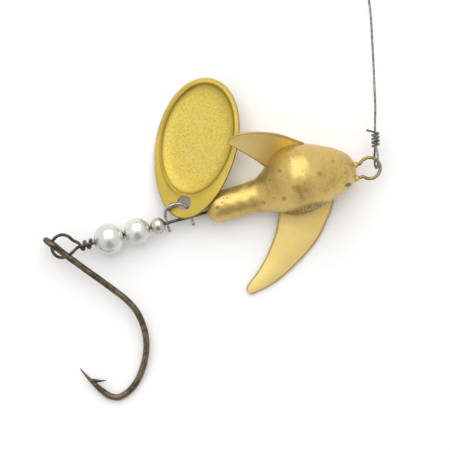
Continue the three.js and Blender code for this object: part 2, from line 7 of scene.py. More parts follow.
import bpy
import numpy as np
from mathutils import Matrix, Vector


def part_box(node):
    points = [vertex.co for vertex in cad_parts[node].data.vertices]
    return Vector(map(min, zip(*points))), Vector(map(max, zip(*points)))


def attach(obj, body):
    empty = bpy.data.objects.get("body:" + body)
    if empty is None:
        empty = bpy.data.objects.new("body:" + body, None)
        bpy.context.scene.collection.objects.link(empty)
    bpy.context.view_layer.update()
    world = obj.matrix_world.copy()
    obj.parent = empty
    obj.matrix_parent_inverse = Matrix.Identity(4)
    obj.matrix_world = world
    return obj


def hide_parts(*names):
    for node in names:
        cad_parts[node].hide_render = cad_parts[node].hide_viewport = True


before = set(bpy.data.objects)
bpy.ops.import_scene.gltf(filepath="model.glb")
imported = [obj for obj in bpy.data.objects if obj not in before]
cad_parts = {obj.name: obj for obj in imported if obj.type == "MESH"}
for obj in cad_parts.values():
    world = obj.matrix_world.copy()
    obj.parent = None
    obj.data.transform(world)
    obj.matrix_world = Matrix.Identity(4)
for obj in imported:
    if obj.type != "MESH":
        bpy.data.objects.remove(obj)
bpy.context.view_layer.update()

bl_info = {
    "name": "Inline spinner",
    "version": (1, 0, 0),
    "blender": (4, 5, 0),
    "location": "View3D > Sidebar > Spinner",
    "description": "Builds an inline spinner piece by piece on its packed frame",
    "category": "Add Mesh",
}

MM = 0.001
AXIS_HEIGHT = 3.55
LARGE_PEARL_U = -22.586


def shift():
    """Millimetres from the shaft's own frame to the row frame, read off the large pearl's box."""
    low, high = (np.array(corner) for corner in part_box("large_pearl"))
    return (low + high) / 2 / MM - np.array([LARGE_PEARL_U, 0, AXIS_HEIGHT])


SHIFT = shift()


def place(points):
    """Plan millimetres to metres in the row frame."""
    return (np.asarray(points, float) + SHIFT) * MM


# ---- curves and surfaces ----
def ease(x):
    """Smooth step: x x (3 - 2 x) between 0 and 1."""
    t = np.clip(x, 0, 1)
    return t * t * (3 - 2 * t)


def catmull(points, per_span):
    """Centripetal Catmull-Rom curve through the points."""
    p = np.asarray(points, float)
    p = np.vstack([2 * p[0] - p[1], p, 2 * p[-1] - p[-2]])
    out = []
    for i in range(1, len(p) - 2):
        a, b, c, d = p[i - 1:i + 3]
        t0 = 0.0
        t1 = t0 + max(1e-6, np.linalg.norm(b - a) ** 0.5)
        t2 = t1 + max(1e-6, np.linalg.norm(c - b) ** 0.5)
        t3 = t2 + max(1e-6, np.linalg.norm(d - c) ** 0.5)
        t = np.linspace(t1, t2, per_span, endpoint=False)[:, None]
        ab = (t1 - t) / (t1 - t0) * a + (t - t0) / (t1 - t0) * b
        bc = (t2 - t) / (t2 - t1) * b + (t - t1) / (t2 - t1) * c
        cd = (t3 - t) / (t3 - t2) * c + (t - t2) / (t3 - t2) * d
        abc = (t2 - t) / (t2 - t0) * ab + (t - t0) / (t2 - t0) * bc
        bcd = (t3 - t) / (t3 - t1) * bc + (t - t1) / (t3 - t1) * cd
        out.append((t2 - t) / (t2 - t1) * abc + (t - t1) / (t2 - t1) * bcd)
    out.append(p[-2:-1])
    return np.vstack(out)


def even(points, step):
    """The same polyline with points one step apart."""
    p = np.asarray(points, float)
    run = np.concatenate([[0], np.cumsum(np.linalg.norm(np.diff(p, axis=0), axis=1))])
    count = max(2, int(round(run[-1] / step)) + 1)
    at = np.linspace(0, run[-1], count)
    return np.stack([np.interp(at, run, p[:, k]) for k in range(p.shape[1])], axis=1)


def frames_along(points):
    """Tangent, normal and side at each point, carried along without twist."""
    p = np.asarray(points, float)
    tangent = np.gradient(p, axis=0)
    tangent /= np.linalg.norm(tangent, axis=1)[:, None]
    seed = np.array([0.0, 0.0, 1.0]) if abs(tangent[0][2]) < 0.9 else np.array([1.0, 0.0, 0.0])
    normals = []
    for t in tangent:
        seed = seed - t * seed.dot(t)
        seed = seed / np.linalg.norm(seed)
        normals.append(seed)
    normals = np.array(normals)
    return tangent, normals, np.cross(tangent, normals)


def loft(rows, ring=False):
    """Skin over rows of points, each row closed: quads between rows, a fan on each end."""
    rows = np.asarray(rows, float)
    count, around = rows.shape[:2]
    verts = rows.reshape(-1, 3)
    i, j = np.meshgrid(np.arange(count if ring else count - 1), np.arange(around), indexing="ij")
    nxt = (i + 1) % count
    quads = np.stack([i * around + j, i * around + (j + 1) % around,
                      nxt * around + (j + 1) % around, nxt * around + j], axis=-1)
    faces = [tuple(q) for q in quads.reshape(-1, 4).tolist()]
    if not ring:
        verts = np.vstack([verts, rows[0].mean(0), rows[-1].mean(0)])
        start, end = count * around, count * around + 1
        for k in range(around):
            m = (k + 1) % around
            faces.append((start, m, k))
            faces.append((end, (count - 1) * around + k, (count - 1) * around + m))
    return verts, faces


def wire(points, radius, sides=20):
    """Round wire: radius * (cos a * normal + sin a * side) round each point, ends domed."""
    p = np.asarray(points, float)
    tangent, normal, side = frames_along(p)
    radii = np.broadcast_to(np.asarray(radius, float), (len(p),)).copy()
    a = np.arange(sides) / sides * 2 * np.pi
    circle = (np.cos(a)[None, :, None] * normal[:, None] + np.sin(a)[None, :, None] * side[:, None])
    rows = [p[k] + circle[k] * radii[k] for k in range(len(p))]
    for end, sign in ((0, -1), (-1, 1)):
        dome = []
        for lift in (0.35, 0.65, 0.87, 0.98):
            shrink = math.sqrt(1 - lift * lift)
            centre = p[end] + sign * tangent[end] * radii[end] * lift * 0.7
            dome.append(centre + circle[end] * radii[end] * shrink)
        rows = dome[::-1] + rows if end == 0 else rows + dome
    return loft(rows)


BEAD_SIDES = 96


def lathe(profile, centre_u, sides=BEAD_SIDES):
    """Closed profile of (along, radius) turned about the shaft line."""
    a = np.arange(sides) / sides * 2 * np.pi
    rows = [[(centre_u + x, r * math.cos(t), AXIS_HEIGHT + r * math.sin(t)) for x, r in profile]
            for t in a]
    return loft(rows, ring=True)


def ellipsoid(centre, radii, rings=14, sides=24):
    """radii * (sin b cos a, sin b sin a, cos b) about the centre."""
    b = np.linspace(0.12, math.pi - 0.12, rings)
    a = np.arange(sides) / sides * 2 * np.pi
    rows = [[np.array(centre) + np.array(radii) * (math.sin(x) * math.cos(y),
            math.sin(x) * math.sin(y), math.cos(x)) for y in a] for x in b]
    return loft(rows)


def volume_of(verts, faces):
    """Signed volume, to find out which way a closed skin faces."""
    fans = np.array([(f[0], f[k], f[k + 1]) for f in faces for k in range(1, len(f) - 1)])
    a, b, c = (verts[fans[:, k]] for k in range(3))
    return float((a * np.cross(b, c)).sum())


def make(name, parts, look, body, nodes, marks=None, sharp=None):
    """One object from closed skins, facing out, on a body, standing for its CAD nodes."""
    verts, faces = [], []
    for part_verts, part_faces in parts:
        flip = volume_of(part_verts, part_faces) < 0
        start = sum(len(v) for v in verts)
        verts.append(part_verts)
        for face in part_faces:
            turned = face[::-1] if flip else face
            faces.append(tuple(start + k for k in turned))
    mesh = bpy.data.meshes.new(name)
    mesh.from_pydata(place(np.vstack(verts)).tolist(), [], faces)
    for mark, values in (marks or {}).items():
        attribute = mesh.attributes.new(mark, "FLOAT", "POINT")
        attribute.data.foreach_set("value", np.asarray(values, np.float32))
    mesh.polygons.foreach_set("use_smooth", [True] * len(mesh.polygons))
    if sharp:
        mesh.set_sharp_from_angle(angle=math.radians(sharp))
    mesh.materials.append(look)
    piece = bpy.data.objects.new(name, mesh)
    bpy.context.scene.collection.objects.link(piece)
    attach(piece, body)
    if nodes:
        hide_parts(*nodes)
    return piece


# ---- shader arithmetic ----
class Signal:
    """A value in a material. Arithmetic on it adds Math nodes."""

    def __init__(self, graph, socket):
        self.graph = graph
        self.socket = socket

    def _with(self, operation, first, second):
        """The Math node's result for two signals or numbers."""
        node = self.graph.node("ShaderNodeMath", {"operation": operation}, {0: first, 1: second})
        return Signal(self.graph, node.outputs[0])

    def __add__(self, other):
        return self._with("ADD", self, other)

    __radd__ = __add__

    def __sub__(self, other):
        return self._with("SUBTRACT", self, other)

    def __rsub__(self, other):
        return self._with("SUBTRACT", other, self)

    def __mul__(self, other):
        return self._with("MULTIPLY", self, other)

    __rmul__ = __mul__

    def step(self, low, high):
        """0 below low, 1 above high, smooth between."""
        node = self.graph.node("ShaderNodeMapRange", {"interpolation_type": "SMOOTHSTEP"},
                               {"Value": self, "From Min": low, "From Max": high})
        return Signal(self.graph, node.outputs[0])


class Graph:
    """One procedural material."""

    def __init__(self, name):
        self.material = bpy.data.materials.new(name)
        self.material.use_nodes = True
        self.tree = self.material.node_tree
        self.tree.nodes.clear()
        self.shader = self.node("ShaderNodeBsdfPrincipled")
        out = self.node("ShaderNodeOutputMaterial")
        self.tree.links.new(self.shader.outputs[0], out.inputs[0])
        self.where = self.node("ShaderNodeTexCoord").outputs["Object"]

    def node(self, kind, settings=None, inputs=None):
        """Adds a node: its settings first, then its inputs."""
        made = self.tree.nodes.new(kind)
        for key, value in (settings or {}).items():
            setattr(made, key, value)
        for key, value in (inputs or {}).items():
            self.feed(made.inputs[key], value)
        return made

    def feed(self, socket, value):
        """Links a signal or socket, or sets a constant."""
        if isinstance(value, Signal):
            self.tree.links.new(value.socket, socket)
        elif isinstance(value, bpy.types.NodeSocket):
            self.tree.links.new(value, socket)
        elif isinstance(value, tuple) and len(socket.default_value) == 4:
            socket.default_value = (*value, 1.0)
        else:
            socket.default_value = value

    def noise(self, scale, detail=3.0, rough=0.55, stretch=None):
        """Noise with the given count per metre."""
        where = self.where
        if stretch:
            where = self.node("ShaderNodeMapping", {"vector_type": "TEXTURE"},
                              {"Vector": self.where, "Scale": stretch}).outputs[0]
        made = self.node("ShaderNodeTexNoise", {"noise_dimensions": "3D"},
                         {"Vector": where, "Scale": scale, "Detail": detail, "Roughness": rough})
        return Signal(self, made.outputs[0])

    def cells(self, scale):
        """Distance to the nearest of scattered points, count per metre."""
        made = self.node("ShaderNodeTexVoronoi", {"feature": "F1"},
                         {"Vector": self.where, "Scale": scale})
        return Signal(self, made.outputs["Distance"])

    def mark(self, name):
        """A mark stored on the mesh's points."""
        return Signal(self, self.node("ShaderNodeAttribute", {"attribute_name": name}).outputs["Fac"])

    def axis(self, which):
        """One coordinate of the point, in metres."""
        split = self.node("ShaderNodeSeparateXYZ", None, {0: self.where})
        return Signal(self, split.outputs[which])

    def mix(self, factor, first, second):
        """Colour between first and second."""
        made = self.node("ShaderNodeMix", {"data_type": "RGBA"}, {0: factor, 6: first, 7: second})
        return made.outputs[2]

    def surface(self, colour, roughness, metallic, height=None, depth=0.0, **fixed):
        """Sets the shader and returns the finished material."""
        self.feed(self.shader.inputs["Base Color"], colour)
        self.feed(self.shader.inputs["Roughness"], roughness)
        self.feed(self.shader.inputs["Metallic"], metallic)
        for key, value in fixed.items():
            self.feed(self.shader.inputs[key.replace("_", " ")], value)
        if height is not None:
            bump = self.node("ShaderNodeBump", None,
                             {"Strength": 1.0, "Distance": depth, "Height": height})
            self.tree.links.new(bump.outputs[0], self.shader.inputs["Normal"])
        return self.material


# ---- materials ----
def gold_paint():
    """Satin gold over a rough casting: warm mottle, brown specks, bare spots where marked, and painted
    shade over the seam at the lower wing's root.
    """
    g = Graph("gold_paint")
    broad = g.noise(170, 3, 0.5)
    mottle = g.noise(700, 5, 0.62)
    speck = g.noise(4200, 4, 0.6)
    crimp = g.noise(1600, 4, 0.7, (0.5, 1.7, 1.7))
    pit, chip, dark_patch, seam = (g.mark(name) for name in ("pit", "chip", "dark_patch", "seam"))
    worn = (broad * 0.6 + mottle * 0.4).step(0.5, 0.68)
    colour = g.mix(worn * 0.7, (0.63, 0.455, 0.145), (0.46, 0.315, 0.085))
    # darker brown at the listed patches
    colour = g.mix((dark_patch * (mottle + 0.35)).step(0.35, 0.95) * 0.6, colour, (0.34, 0.19, 0.045))
    colour = g.mix(speck.step(0.56, 0.7) * 0.55, colour, (0.28, 0.18, 0.045))
    colour = g.mix(speck.step(0.46, 0.3) * 0.6, colour, (0.86, 0.67, 0.27))
    # painted shade: dark olive along the crinkled seam, standing for the shade where the lower wing meets
    # the body
    colour = g.mix(seam * (crimp.step(0.4, 0.62) * 0.4 + 0.5), colour, (0.15, 0.10, 0.02))
    colour = g.mix(pit * 0.45, colour, (0.22, 0.15, 0.035))
    colour = g.mix(chip, colour, (0.11, 0.125, 0.135))
    roughness = 0.34 + worn * 0.1 + mottle * 0.08 + pit * 0.2
    height = broad * 0.3 + mottle * 0.4 + speck * 0.28 + seam * crimp * 1.1 - pit * 0.2
    return g.surface(colour, roughness, 0.88, height, 0.0001)


def wing_brass():
    """Smooth pale brass sheet with a faint grain and painted shade along its cut edges."""
    g = Graph("wing_brass")
    cloud = g.noise(120, 3, 0.5)
    grain = g.noise(2500, 3, 0.5, (4.0, 1.0, 1.0))
    edge = g.mark("edge")
    colour = g.mix(cloud.step(0.35, 0.7), (0.80, 0.63, 0.24), (0.74, 0.56, 0.195))
    # painted shade: the cut edges are darkened to stand for the shade on them
    colour = g.mix(edge * 0.6, colour, (0.22, 0.15, 0.06))
    roughness = 0.42 + grain * 0.12
    return g.surface(colour, roughness, 0.85, grain, 0.00002)


def blade_brass():
    """Worn yellow brass: fine pepper in the dish, duller rim, painted shade along the cut edge and along
    the dish's border.
    """
    g = Graph("blade_brass")
    cloud = g.noise(170, 4, 0.6)
    grit = g.noise(2600, 5, 0.7)
    pepper = g.cells(1500)
    edge = g.mark("edge")
    lip_shade = g.mark("lip_shade")
    dish = g.mark("dish")
    colour = g.mix(dish, (0.44, 0.33, 0.06), (0.55, 0.43, 0.10))
    colour = g.mix(cloud.step(0.4, 0.66) * 0.6, colour, (0.58, 0.42, 0.07))
    colour = g.mix(grit.step(0.5, 0.68) * (dish * 0.6 + 0.2), colour, (0.36, 0.26, 0.05))
    colour = g.mix(grit.step(0.44, 0.28) * dish * 0.5, colour, (0.9, 0.78, 0.3))
    colour = g.mix(pepper.step(0.2, 0.08) * dish * cloud.step(0.42, 0.6), colour, (0.12, 0.085, 0.02))
    # painted shade: a dark line along the crease at the dish's border
    colour = g.mix(lip_shade * 0.7, colour, (0.24, 0.165, 0.03))
    # painted shade along the blade's cut edge
    colour = g.mix(edge * 0.85, colour, (0.13, 0.09, 0.03))
    roughness = 0.3 + grit * 0.22 + dish * 0.06
    height = grit * dish * 0.8 + cloud * 0.5 + grit * 0.12
    return g.surface(colour, roughness, 0.9, height, 0.00006)


def pearl_coat():
    """White pearl lacquer over plastic, faintly green where it wears at the bore."""
    g = Graph("pearl_coat")
    cloud = g.noise(300, 3, 0.5)
    bore = g.mark("bore")
    colour = g.mix(cloud.step(0.35, 0.7), (0.72, 0.715, 0.68), (0.62, 0.62, 0.59))
    colour = g.mix(bore, colour, (0.42, 0.46, 0.2))
    roughness = 0.2 + cloud * 0.08
    return g.surface(colour, roughness, 0.7, cloud, 0.00001, Coat_Weight=0.6, Coat_Roughness=0.1)


def worn_metal(name, light, dark, rough, spot_scale=900, low=0.42, high=0.62):
    """Bare metal whose tarnish gathers in spots, with fine drawing marks."""
    g = Graph(name)
    spots = g.noise(spot_scale, 5, 0.65)
    grain = g.noise(6000, 2, 0.5)
    dark_patch = spots.step(low, high)
    colour = g.mix(dark_patch, light, dark)
    roughness = rough + dark_patch * 0.14 + grain * 0.06
    return g.surface(colour, roughness, 0.95, spots * 0.7 + grain * 0.3, 0.00003)


def gold_wire():
    """Gold paint on wire, rubbed to bare grey metal at the loop's outer end."""
    g = Graph("gold_wire")
    spots = g.noise(1100, 4, 0.6)
    end = float(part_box("head_loop")[1][0])
    bare = (g.axis(0) + spots * 0.0012).step(end - 0.0010, end + 0.0002)
    colour = g.mix(spots.step(0.4, 0.65), (0.40, 0.29, 0.10), (0.20, 0.14, 0.045))
    colour = g.mix(bare, colour, (0.22, 0.22, 0.2))
    return g.surface(colour, 0.34 + spots * 0.15, 0.9, spots, 0.00003)


def bronzed():
    """Dark bronzed hook steel worn to olive and dull gold in blotches."""
    g = Graph("bronzed_steel")
    blotch = g.noise(420, 5, 0.65)
    fine = g.noise(2600, 4, 0.6)
    colour = g.mix(blotch.step(0.42, 0.6), (0.07, 0.055, 0.04), (0.17, 0.135, 0.08))
    colour = g.mix(fine.step(0.54, 0.7) * 0.6, colour, (0.30, 0.24, 0.12))
    roughness = 0.26 + blotch * 0.2
    return g.surface(colour, roughness, 0.85, fine * 0.6 + blotch * 0.4, 0.00004)


# ---- cast body ----
BULB = [
    (8, 0.4475, 0), (11, 0.454, 0), (12.6, 0.482, 0.06), (14, 0.556, 0.19), (15, 0.635, 0.38),
    (16, 0.722, 0.57), (17.2, 0.84, 0.77), (18.7, 0.95, 0.93), (20.7, 1, 1), (22.6, 0.993, 1),
    (24.3, 0.955, 0.97), (25.8, 0.905, 0.91), (27.6, 0.83, 0.82), (29.4, 0.745, 0.71),
    (31, 0.655, 0.6), (32.2, 0.575, 0.5), (33.3, 0.478, 0.41), (34.1, 0.37, 0.34),
    (34.7, 0.245, 0.29), (35.0, 0.12, 0.27), (35.1, 0.004, 0.26),
]
PITS = [
    (2.73, 0.18, 0.5), (4.65, 2.05, 0.22), (5.44, 2.0, 0.2), (4.0, 1.1, 0.2), (18.1, 4.7, 0.34),
    (15.4, 3.4, 0.3), (15.4, -0.85, 0.3), (17.6, -1.45, 0.4), (20.1, 0.3, 0.3), (23.0, 3.1, 0.22),
    (25.8, 5.3, 0.2), (28.0, 4.7, 0.2), (32.2, 0.4, 0.2), (24.4, 1.2, 0.18), (19.4, 2.6, 0.2),
]
# darker brown patches at the listed spots, mostly round the pits, one wide across the bulb's middle
DARK_PATCHES = [
    (20.7, -0.2, 1.5), (17.5, -1.5, 0.8), (22.6, -0.9, 0.9), (2.8, 0.3, 0.9), (18.2, 4.6, 0.7),
    (26.5, 1.5, 0.9), (30.2, 3.6, 0.8), (13.0, -1.2, 0.8),
]
CHIP = (32.2, -2.3, 0.62)
SHOULDER_EASE = 0.165
SEAM_MIDDLE = 21.8
SEAM_HALF = 6.6


def body_line(settings, tail_steps=10):
    """Stations (u, radius, lean) from tail pole to nose pole."""
    tail = settings.tail_radius / MM
    bulb = settings.bulb_radius / MM
    line = [(0.05, 0.01, 0)]
    for k in range(1, tail_steps + 1):
        a = k / tail_steps * math.pi / 2
        line.append((tail * 0.95 * (1 - math.cos(a)) + 0.05, tail * math.sin(a), 0))
    line += [(u, r * bulb, lean) for u, r, lean in BULB]
    return even(catmull(line, 14), 0.16)


def body_skin(settings):
    """Circles of radius r(u) about a centre line that leans up and sideways by lean(u):
    (u, v0 + side lean + r cos a, height + lift lean + r sin a), with dents and pits, and a
    crinkled seam over the lower wing's root, whose mark also places painted shade where the
    wing meets the body."""
    line = body_line(settings)
    lift = settings.back_lift / MM
    side = settings.back_side / MM
    a = np.arange(176) / 176 * 2 * np.pi
    u, r, lean = (line[:, k][:, None] for k in range(3))
    v = 0.5 + (side - 0.5) * ease(u / 20) * 0.25 + (side - 0.3) * lean * 0.8
    wave = (np.sin(0.9 * u + 2.1 * np.cos(a)) * np.cos(1.3 * u - 3 * a) * 0.05
            + np.sin(1.9 * u + 5 * a) * 0.022 + np.cos(0.55 * u - 2 * a) * 0.05)
    radius = r + wave * ease(r / 2)
    crown = 1 - SHOULDER_EASE * np.exp(-((u - 16.6) / 3) ** 2) * (np.sin(a) > 0)
    grid = np.stack([u + 0 * a, v + radius * np.cos(a), AXIS_HEIGHT + lift * lean
                     + radius * crown * np.sin(a)], axis=-1)
    pit = np.zeros(grid.shape[:2])
    top = np.sin(a)[None, :] > -0.1
    for pu, pv, size in PITS:
        far = np.hypot(grid[..., 0] - pu, grid[..., 1] - pv)
        pit = np.maximum(pit, np.exp(-(far / size) ** 2 * 1.6) * top)
    dark_patch = np.zeros(grid.shape[:2])
    for su, sv, size in DARK_PATCHES:
        far = np.hypot(grid[..., 0] - su, grid[..., 1] - sv)
        dark_patch = np.maximum(dark_patch, np.exp(-(far / size) ** 2) * top)
    far = np.hypot((grid[..., 0] - CHIP[0]) * 0.75, (grid[..., 1] - CHIP[1]) * 1.25)
    chip = ease(1.5 - far / CHIP[2] * 1.1) * top
    # Seam mark: a crinkled ridge over the lower wing's root, and where the paint puts painted shade at
    # the wing's junction
    below = np.cos(a - math.pi + 0.1)[None, :]
    mound = np.clip(1 - ((u - SEAM_MIDDLE) / SEAM_HALF) ** 2, 0, None)
    seam = ease((below - 1.04 + 0.26 * mound) / 0.09) * ease(mound * 3)
    seam = seam * ease((np.sin(a)[None, :] + 0.3) / 0.15)
    crinkle = (np.sin(4.3 * u + 2.1 * np.sin(2.7 * u) + 9 * a) * 0.5
               + np.sin(9.1 * u - 14 * a) * 0.5)
    grid[..., 1] -= 0.1 * seam * (0.7 + crinkle)
    grid[..., 2] -= 0.14 * pit + 0.12 * chip
    return grid, {"pit": pit, "chip": chip, "dark_patch": dark_patch, "seam": seam}


# ---- wings ----
FOLD_V = 1.33
FOLD_Z = 1.5
LOWER_TRAILING = [
    (16.6, 1.4), (16.3, 4.0), (15.6, 6.4), (14.3, 9.2), (12.6, 11.8), (10.6, 14.4),
    (8.3, 16.8), (6.2, 18.5), (4.75, 19.7), (4.3, 20.6), (4.45, 21.2),
]
LOWER_LEADING = [
    (28.6, 1.4), (28.9, 3.4), (28.6, 6.0), (27.5, 8.15), (25.7, 10.45), (23.4, 13.15),
    (20.4, 15.55), (17.6, 17.35), (14.9, 18.85), (12.2, 20.15), (9.6, 21.05), (7.1, 21.55),
    (5.3, 21.85), (4.7, 21.6), (4.45, 21.2),
]
UPPER_TRAILING = [
    (15.9, 6.3), (15.1, 7.7), (13.9, 9.6), (12.5, 11.6), (11.3, 13.3), (10.2, 14.95),
    (9.3, 16.1), (8.8, 16.9), (8.8, 17.5),
]
UPPER_LEADING = [
    (25.0, 6.3), (25.6, 9.6), (25.1, 11.1), (23.5, 12.7), (21.5, 14.55), (19.5, 16.1), (17.4, 17.25),
    (15.3, 18.15), (13.2, 18.75), (11.2, 19.0), (9.8, 18.6), (9.1, 18.1), (8.8, 17.5),
]


def wing_skin(trailing, leading, thickness, side, angle, camber):
    """Rounded flat section between two edge curves, swept from root to tip:
    edge arcs of half the thickness join an upper and a lower face."""
    count, across, arc = 170, 26, 7
    back = even(catmull(trailing, 16), 0.05)
    front = even(catmull(leading, 16), 0.05)
    s = 1 - (1 - np.linspace(0, 1, count)) ** 1.25
    pick = lambda p: np.stack([np.interp(s, np.linspace(0, 1, len(p)), p[:, k])
                               for k in (0, 1)], axis=1)
    back, front = pick(back), pick(front)
    rows, edge = [], []
    for k in range(count):
        chord = front[k] - back[k]
        width = max(1e-4, np.linalg.norm(chord))
        way = chord / width
        r = min(thickness / 2, width / 2)
        flat = np.linspace(0, 1, across + 2)[1:-1]
        section = [(r - r * math.sin(t), r * math.cos(t)) for t in np.linspace(0, math.pi, arc)]
        section += [(r + (width - 2 * r) * t, -r) for t in flat]
        section += [(width - r + r * math.sin(t), -r * math.cos(t))
                    for t in np.linspace(0, math.pi, arc)]
        section += [(r + (width - 2 * r) * t, r) for t in flat[::-1]]
        # the edge arcs are marked for painted shade along the cut edges
        edge.append([1.0] * arc + [0.0] * across + [1.0] * arc + [0.0] * across)
        row = []
        for x, h in section:
            at = back[k] + way * x
            bow = camber * (math.sin(math.pi * min(1, x / width)) - 0.6) * math.sin(math.pi * s[k])
            row.append((at[0], at[1], h + bow))
        rows.append(row)
    rows = np.array(rows)
    turn = math.radians(angle)
    far, high = rows[..., 1].copy(), rows[..., 2].copy()
    rows[..., 1] = FOLD_V + side * (far * math.cos(turn) - high * math.sin(turn))
    rows[..., 2] = FOLD_Z + far * math.sin(turn) + high * math.cos(turn)
    marks = np.concatenate([np.array(edge).ravel(), [1.0, 1.0]])
    return loft(rows), marks


# ---- wires ----
HEAD_HEIGHT = 4.3
HEAD_LEG_HALF = 1.5
RING_CENTRE = (38.1, 0.1)


def head_path(settings):
    """Legs into an open ring: an arc about the ring's centre between two straight legs."""
    ring = settings.ring_radius / MM
    cu, cv = RING_CENTRE
    start = math.asin(HEAD_LEG_HALF / ring)
    a = np.linspace(math.pi - start, start - math.pi, 22)
    arc = np.stack([cu + ring * np.cos(a), cv + ring * np.sin(a), 0 * a + HEAD_HEIGHT], axis=1)
    up = [(x, cv + HEAD_LEG_HALF, HEAD_HEIGHT) for x in (31.8, 33.4, 35.2)]
    down = [(x, cv - HEAD_LEG_HALF, HEAD_HEIGHT) for x in (35.2, 33.4, 31.8)]
    return even(catmull(np.vstack([up, arc, down]), 8), 0.12)


def shaft_path(settings):
    """Straight shaft, teardrop rear loop, then a helix back over the shaft:
    (u, R cos a, R sin a) with R one wire and a little clearance."""
    gauge = settings.shaft_wire / MM
    lean = lambda u, v: (u, v - 0.3, AXIS_HEIGHT + 0.5 * v)
    straight = [(8, 0, AXIS_HEIGHT), (0, 0, AXIS_HEIGHT), (-14, 0, AXIS_HEIGHT),
                (-26.9, 0, AXIS_HEIGHT), (-28.8, 0, AXIS_HEIGHT), (-29.9, -0.05, AXIS_HEIGHT)]
    loop = [lean(-31.6, -0.65), lean(-33.2, -1.12), lean(-34.55, -0.8), lean(-35.42, 0.2),
            lean(-35.55, 1.6), lean(-34.9, 3.05), lean(-33.85, 3.75), lean(-32.55, 3.9),
            lean(-31.3, 3.25), lean(-30.5, 2.1)]
    radius = gauge + 0.13
    k = np.arange(0, 25)
    a = math.pi * 0.15 + k / 12 * 2 * math.pi
    helix = np.stack([-29.4 + k / 12 * 1.41, radius * np.cos(a),
                      AXIS_HEIGHT + radius * np.sin(a)], axis=1)
    return even(catmull(np.vstack([straight, loop, helix]), 8), 0.12)


# ---- beads ----
def bead_profile(diameter, bore):
    """Sphere profile with a bore and a softened rim, and how close each point is to the bore."""
    radius = diameter / 2
    start = math.asin(bore / diameter) + 0.16 / radius
    a = np.linspace(start, math.pi - start, 60)
    outer = [(-radius * math.cos(t), radius * math.sin(t)) for t in a]
    half = math.sqrt(radius ** 2 - (bore / 2) ** 2)
    r0 = bore / 2
    near = [(half - 0.05, r0 + 0.07), (half - 0.18, r0)]
    inner = [(half * t, r0) for t in np.linspace(0.85, -0.85, 8)]
    far = [(-half + 0.18, r0), (-half + 0.05, r0 + 0.07)]
    profile = outer + near + inner + far
    bore_mark = [float(ease((r0 + 0.75 - r) / 0.6)) for _, r in profile]
    return profile, bore_mark


# ---- clevis ----
CLEVIS_SPAN = 5.6                 # between the two legs
CLEVIS_FOOT = 2.2                 # leg length past the shaft
CLEVIS_BAND = (1.0, 1.9)          # width along the bow and at the eyes
CLEVIS_GAUGE = (0.8, 0.5)         # thickness along the bow and at the eyes


def clevis_skin(settings, left):
    """Superellipse section swept along the U, wide at the eyes, then swung about the shaft."""
    right = left + CLEVIS_SPAN
    r = settings.clevis_reach / MM
    path = [
        (left, -CLEVIS_FOOT), (left, -0.45 * CLEVIS_FOOT), (left, 0), (left, r * 0.27),
        (left + 0.1, r * 0.56),
        (left + 0.6, r * 0.82), (left + 1.5, r * 0.97), (left + 2.6, r), (right - 1.6, r * 0.93),
        (right - 0.75, r * 0.76), (right - 0.15, r * 0.53), (right, r * 0.27), (right, 0),
        (right, -0.45 * CLEVIS_FOOT), (right, -CLEVIS_FOOT),
    ]
    p = even(catmull(path, 14), 0.1)
    way = np.gradient(p, axis=0)
    way /= np.linalg.norm(way, axis=1)[:, None]
    a = np.arange(28) / 28 * 2 * np.pi
    rows = []
    for point, t in zip(p, way):
        near = ease((2.1 - abs(point[1])) / 1.5)
        foot = 1 - 0.62 * ease((-point[1] - 0.7) / 1.2) if point[1] < 0 else 1
        band = (CLEVIS_BAND[0] + (CLEVIS_BAND[1] - CLEVIS_BAND[0]) * near) * foot
        gauge = CLEVIS_GAUGE[0] + (CLEVIS_GAUGE[1] - CLEVIS_GAUGE[0]) * near
        x = np.sign(np.cos(a)) * np.abs(np.cos(a)) ** 0.8 * gauge / 2
        y = np.sign(np.sin(a)) * np.abs(np.sin(a)) ** 0.8 * band / 2
        rows.append(np.stack([point[0] - t[1] * x, point[1] + t[0] * x, y], axis=1))
    rows = np.array(rows)
    swing = math.radians(settings.clevis_swing)
    across, high = rows[..., 1].copy(), rows[..., 2].copy()
    rows[..., 1] = across * math.cos(swing) - high * math.sin(swing)
    rows[..., 2] = AXIS_HEIGHT + across * math.sin(swing) + high * math.cos(swing)
    return loft(rows)


# ---- blade ----
BLADE_GAUGE = 0.5
DISH_START = 5.5
HOLE_IN = 3.55                    # narrow end to hole centre


def blade_oval(s0, length, width, a, egg):
    """Oval outline: half width (w/2) sqrt(1 - x x), fuller toward the far end by egg."""
    s = length / 2 * (1 - np.cos(a))
    x = 2 * s / length - 1
    half = width / 2 * np.sqrt(np.clip(1 - x * x, 0, None)) * (1 + egg * x)
    return np.stack([s0 + s, np.sign(np.sin(a)) * half], axis=1)


